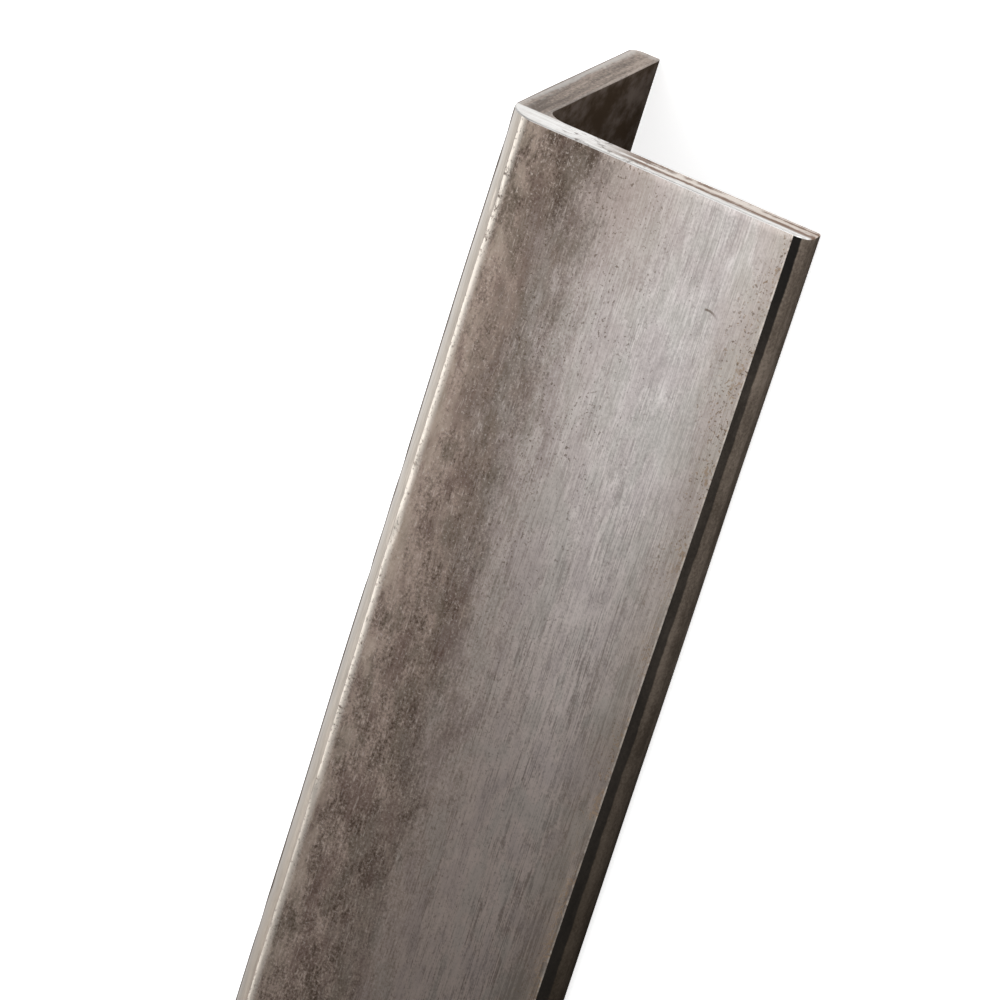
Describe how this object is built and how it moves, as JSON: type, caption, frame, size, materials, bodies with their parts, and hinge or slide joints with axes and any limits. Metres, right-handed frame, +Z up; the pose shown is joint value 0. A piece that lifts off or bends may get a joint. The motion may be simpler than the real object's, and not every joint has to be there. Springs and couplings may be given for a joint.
{
  "type": "steel angle",
  "caption": "Equal-leg steel angle: a cut bar of L section with rounded heel, filleted root and square sawn ends, for frames, brackets, edging and supports.",
  "frame": {"origin": "on the floor, under the middle of the bar's length and under the heel", "axes": "+X along the bar, +Z up through the heel, +Y across, towards the toe of the second leg"},
  "size_m": [0.5, 0.0688, 0.0364],
  "materials": {
    "mill_steel": "bare mill steel with brown scale along the heel, fine streaks along the bar, rust specks at the toes and bright sawn ends"
  },
  "bodies": {
    "root": {"steel_angle": "mill_steel"}
  },
  "joints": []
}
